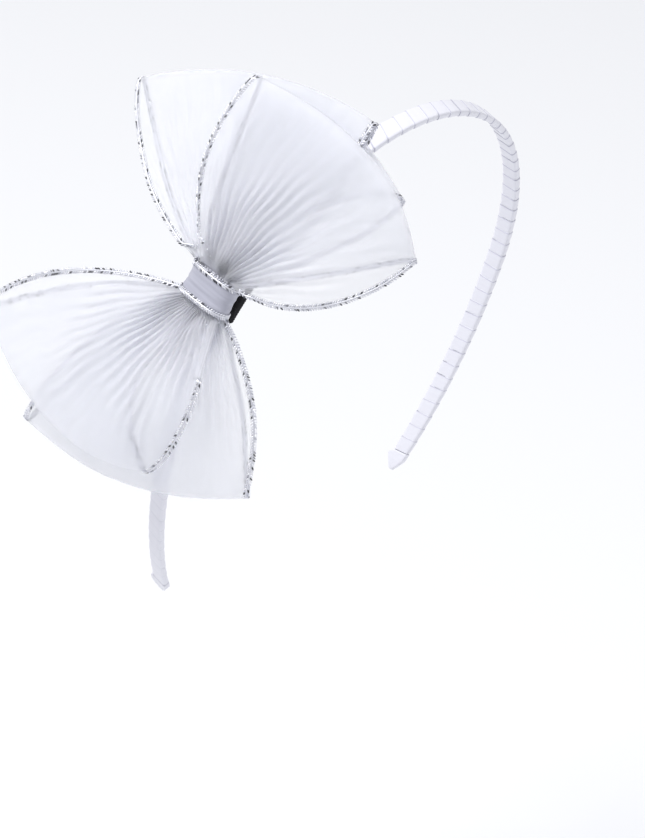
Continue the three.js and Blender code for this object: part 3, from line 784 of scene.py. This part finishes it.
GEOMETRY = "NodeSocketGeometry"
stitching, stitch_in, stitch_out = new_group(
    "Stitched edge", "GeometryNodeTree",
    [("Edge", GEOMETRY), ("Spacing", FLOAT), ("Stitch Length", FLOAT), ("Thickness", FLOAT),
     ("Row Shift", FLOAT), ("Slant", FLOAT), ("Cord Radius", FLOAT), ("Seed", "NodeSocketInt"),
     ("Thread", "NodeSocketMaterial")],
    [("Stitches", GEOMETRY)],
)
given = stitch_in.outputs
edge_curve = node(stitching, "GeometryNodeMeshToCurve", {0: given["Edge"]})
edge_points = node(stitching, "GeometryNodeResampleCurve", {
    "Curve": edge_curve.outputs[0], "Length": given["Spacing"]}, mode="LENGTH")
outward = node(
    stitching, "GeometryNodeInputNamedAttribute", {"Name": "outward"}, data_type="FLOAT_VECTOR")
tangent = node(stitching, "GeometryNodeInputTangent")
side_way = node(stitching, "ShaderNodeVectorMath", {
    0: outward.outputs[0], 1: tangent.outputs[0]}, operation="CROSS_PRODUCT")
stitch_ball = node(stitching, "GeometryNodeMeshUVSphere", {
    "Segments": 6, "Rings": 5, "Radius": 0.5})
stitch_size = node(stitching, "ShaderNodeCombineXYZ", {
    0: given["Stitch Length"], 1: given["Thickness"], 2: given["Thickness"]})
stitch_shape = node(stitching, "GeometryNodeTransform", {
    "Geometry": stitch_ball.outputs[0], "Scale": stitch_size.outputs[0]})
joined = node(stitching, "GeometryNodeJoinGeometry")
for row, (turned, phase) in enumerate(((1, 0), (-1, 0.5))):
    shift = node(stitching, "ShaderNodeMath", {
        0: given["Row Shift"], 1: turned}, operation="MULTIPLY")
    aside = node(stitching, "ShaderNodeVectorMath", {
        0: side_way.outputs[0], "Scale": shift.outputs[0]}, operation="SCALE")
    half = node(stitching, "ShaderNodeMath", {
        0: given["Spacing"], 1: phase}, operation="MULTIPLY")
    onward = node(stitching, "ShaderNodeVectorMath", {
        0: tangent.outputs[0], "Scale": half.outputs[0]}, operation="SCALE")
    offset = node(stitching, "ShaderNodeVectorMath", {
        0: aside.outputs[0], 1: onward.outputs[0]}, operation="ADD")
    row_points = node(stitching, "GeometryNodeSetPosition", {
        "Geometry": edge_points.outputs[0], "Offset": offset.outputs[0]})
    facing = node(stitching, "FunctionNodeAxesToRotation", {
        "Primary Axis": tangent.outputs[0], "Secondary Axis": outward.outputs[0],
    }, primary_axis="X", secondary_axis="Z")
    seed = node(stitching, "ShaderNodeMath", {0: given["Seed"], 1: 31 * row}, operation="ADD")
    sway = node(stitching, "FunctionNodeRandomValue", {
        "Min": SLANT_SHARES[0], "Max": SLANT_SHARES[1], "Seed": seed.outputs[0]}, data_type="FLOAT")
    slant = node(stitching, "ShaderNodeMath", {
        0: given["Slant"], 1: sway.outputs[1]}, operation="MULTIPLY")
    slant_side = node(stitching, "ShaderNodeMath", {
        0: slant.outputs[0], 1: turned}, operation="MULTIPLY")
    lean = node(stitching, "FunctionNodeAxisAngleToRotation", {
        "Axis": (0, 0, 1), "Angle": slant_side.outputs[0]})
    leaned = node(stitching, "FunctionNodeRotateRotation", {
        "Rotation": facing.outputs[0], "Rotate By": lean.outputs[0]}, rotation_space="LOCAL")
    stitches = node(stitching, "GeometryNodeInstanceOnPoints", {
        "Points": row_points.outputs[0], "Instance": stitch_shape.outputs[0],
        "Rotation": leaned.outputs[0]})
    glint_seed = node(stitching, "ShaderNodeMath", {0: seed.outputs[0], 1: 7}, operation="ADD")
    glint_value = node(stitching, "FunctionNodeRandomValue", {
        "Seed": glint_seed.outputs[0]}, data_type="FLOAT")
    glinting = node(stitching, "GeometryNodeStoreNamedAttribute", {
        "Geometry": stitches.outputs[0], "Name": "glint", "Value": glint_value.outputs[1],
    }, data_type="FLOAT", domain="INSTANCE")
    stitching.links.new(glinting.outputs[0], joined.inputs[0])
cord_ring = node(stitching, "GeometryNodeCurvePrimitiveCircle", {
    "Resolution": 6, "Radius": given["Cord Radius"]})
cord_body = node(stitching, "GeometryNodeCurveToMesh", {
    "Curve": edge_points.outputs[0], "Profile Curve": cord_ring.outputs[0], "Fill Caps": True})
cord_glint = node(stitching, "GeometryNodeStoreNamedAttribute", {
    "Geometry": cord_body.outputs[0], "Name": "glint", "Value": 0.5},
    data_type="FLOAT", domain="POINT")
stitching.links.new(cord_glint.outputs[0], joined.inputs[0])
stitched = node(stitching, "GeometryNodeRealizeInstances", {0: joined.outputs[0]})
smooth_stitches = node(stitching, "GeometryNodeSetShadeSmooth", {0: stitched.outputs[0]})
threaded = node(stitching, "GeometryNodeSetMaterial", {
    "Geometry": smooth_stitches.outputs[0], "Material": given["Thread"]})
stitching.links.new(threaded.outputs[0], stitch_out.inputs["Stitches"])


def stitched_edge(name, points, outs, closed, seed, cad_node):
    """Silver stitches along a line of points, facing the outward directions."""
    mesh = bpy.data.meshes.new(name)
    count = len(points)
    edges = [(i, (i + 1) % count) for i in range(count if closed else count - 1)]
    mesh.from_pydata(points.tolist(), edges, [])
    attribute = mesh.attributes.new("outward", "FLOAT_VECTOR", "POINT")
    attribute.data.foreach_set("vector", outs.astype(np.float32).ravel())
    piece = bpy.data.objects.new(name, mesh)
    bpy.context.scene.collection.objects.link(piece)
    modifier = piece.modifiers.new("Stitches", "NODES")
    modifier.node_group = stitching
    values = {
        "Spacing": STITCH_SPACING, "Stitch Length": STITCH_LENGTH, "Thickness": STITCH_THICKNESS,
        "Row Shift": ROW_SHIFT, "Slant": STITCH_SLANT, "Cord Radius": CORD_RADIUS, "Seed": seed,
        "Thread": silver,
    }
    for item in stitching.interface.items_tree:
        if item.in_out == "INPUT" and item.name in values:
            modifier[item.identifier] = values[item.name]
    evaluated = piece.evaluated_get(bpy.context.evaluated_depsgraph_get())
    piece.data = bpy.data.meshes.new_from_object(evaluated)
    piece.modifiers.clear()
    piece.data.name = name
    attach(piece, "root")
    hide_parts(cad_node)
    return piece


edge_turns = np.linspace(EDGE_START, 1 - EDGE_START, EDGE_STEPS)
for number, loop in enumerate(LOOPS):
    name = loop[0]
    for edge, share, away in (("back", 0.0, -1), ("front", 1.0, 1)):
        shares = np.full_like(edge_turns, share)
        steps = np.linalg.norm(np.diff(loop_points(loop, edge_turns, shares), axis=0), axis=1)
        from_knot = np.concatenate([[0], np.cumsum(steps)])
        rolled = ROLLED_UNDER.get(f"{name}_{edge}", 0)
        under = np.clip((rolled - from_knot) / ROLL_OUT, 0, 1)
        under = (under * under * (3 - 2 * under))[:, None]
        shares -= away * ROLL_SHARE * under[:, 0]
        front, out = loop_directions(loop, edge_turns, shares)
        inward = np.where(edge_turns < 0.5, -1, 1)[:, None] * np.array([0, 0, 1])
        middle = loop_points(loop, edge_turns, shares) + inward * ROLL_DEPTH * under
        middle += front * away * beside_cloth * (1 - under)
        tips = on_bow(middle + out) - on_bow(middle)
        stitched_edge(
            f"stitched_{name}_{edge}", on_bow(middle), tips, False, 10 * number + (share > 0),
            f"silver_{name}_{edge}")
    sheet, length = loop_cloths[name]
    width = UNDER_RIBBON_WIDTH if name == "upper_under_loop" else RIBBON_WIDTH

for edge, place in (("upper", 1), ("lower", -1)):
    along = place * knot_rim
    angles = np.linspace(0, math.tau, KNOT_EDGE_STEPS, endpoint=False)
    ring = knot_ring(along, KNOT_WIDTH, KNOT_HEIGHT, angles)
    wider = knot_ring(along, KNOT_WIDTH + KNOT_WALL, KNOT_HEIGHT + KNOT_WALL, angles)
    stitched_edge(
        f"stitched_knot_{edge}", on_bow(ring), unit(on_bow(wider) - on_bow(ring)), True,
        KNOT_SEED + place, f"silver_knot_edge_{edge}")

# Studio
# A plain pale floor well below the headband, which is held up as it is worn, under a large soft
# light from the upper left and a weaker one from the front.
CAMERA_PLACE = Vector((-0.7526, -0.7108, 0.5083))
CAMERA_TARGET = Vector((-0.04684, -0.01241, -0.07192))
FOCAL_PIXELS = 4088
FRAME_HEIGHT_PIXELS = 838
SENSOR = 36
camera_data = bpy.data.cameras.new("Camera")
camera_data.sensor_fit = "AUTO"
camera_data.sensor_width = SENSOR
camera_data.lens = SENSOR * FOCAL_PIXELS / FRAME_HEIGHT_PIXELS
camera_data.clip_start = 0.05
camera = bpy.data.objects.new("Camera", camera_data)
camera.location = CAMERA_PLACE
camera.rotation_euler = (CAMERA_TARGET - CAMERA_PLACE).to_track_quat("-Z", "Y").to_euler()
bpy.context.scene.collection.objects.link(camera)
bpy.context.scene.camera = camera

FLOOR_LEVEL = -0.32
FLOOR_SIZE = 12
FLOOR_COLOUR = (0.86, 0.865, 0.88, 1)
floor_paint, _, _ = new_material("Pale floor", {
    "Base Color": FLOOR_COLOUR, "Roughness": 0.9, "Specular IOR Level": 0.1})
corner = FLOOR_SIZE / 2
floor = make_piece(
    "floor", [
        (-corner, -corner, FLOOR_LEVEL), (corner, -corner, FLOOR_LEVEL),
        (corner, corner, FLOOR_LEVEL), (-corner, corner, FLOOR_LEVEL)],
    [(0, 1, 2, 3)], floor_paint, {})

# Name, place, size in metres, power in watts
LIGHTS = [
    ("Key", (-0.7, 0.4, 1.8), 1.2, 36),
    ("Fill", (0.9, -1.5, 0.9), 1.6, 6),
]
for name, place, size, power in LIGHTS:
    light_data = bpy.data.lights.new(name, "AREA")
    light_data.shape = "DISK"
    light_data.size = size
    light_data.energy = power
    light = bpy.data.objects.new(name, light_data)
    light.location = place
    light.rotation_euler = (CAMERA_TARGET - Vector(place)).to_track_quat("-Z", "Y").to_euler()
    bpy.context.scene.collection.objects.link(light)

WORLD_COLOUR = (0.95, 0.96, 1.0, 1)
WORLD_STRENGTH = 0.55
world = bpy.data.worlds.new("Studio")
world.use_nodes = True
world.node_tree.nodes["Background"].inputs[0].default_value = WORLD_COLOUR
world.node_tree.nodes["Background"].inputs[1].default_value = WORLD_STRENGTH
bpy.context.scene.world = world
bpy.context.scene.view_settings.view_transform = "Standard"
bpy.context.scene.cycles.transparent_max_bounces = 40
